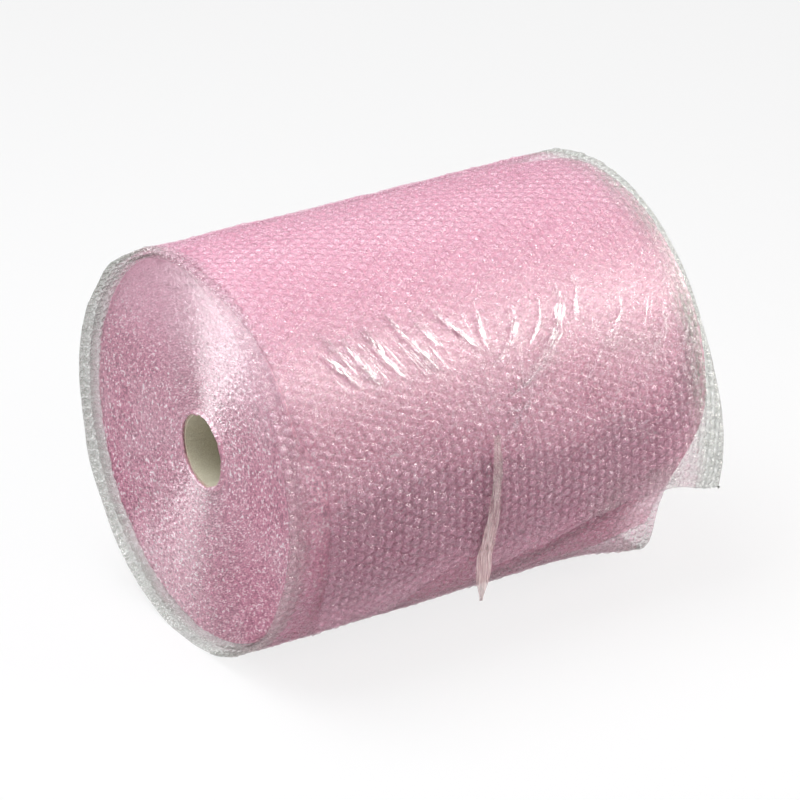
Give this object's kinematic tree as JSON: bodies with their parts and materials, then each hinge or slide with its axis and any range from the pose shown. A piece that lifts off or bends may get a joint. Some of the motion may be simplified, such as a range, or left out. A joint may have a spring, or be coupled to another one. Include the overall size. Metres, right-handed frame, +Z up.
{
  "type": "bubble wrap roll",
  "caption": "Roll of pink anti-static small-bubble wrap on a cardboard core, lying on its side with a loose taped tail.",
  "frame": {"origin": "on the flat spot that the roll rests on, under the middle of the web's width", "axes": "+X along the core towards the end where the tail stands out, +Z up, the loose tail hangs on the -Y side"},
  "size_m": [0.543, 0.4435, 0.4303],
  "materials": {
    "bubble_film": "glossy translucent pink polyethylene film with air bubbles",
    "core_board": "matt spiral-wound paperboard",
    "clear_tape": "glossy translucent crumpled tape"
  },
  "bodies": {
    "root": {"bubble_wrap": "bubble_film", "cardboard_core": "core_board", "tape_strip": "clear_tape"}
  },
  "joints": []
}
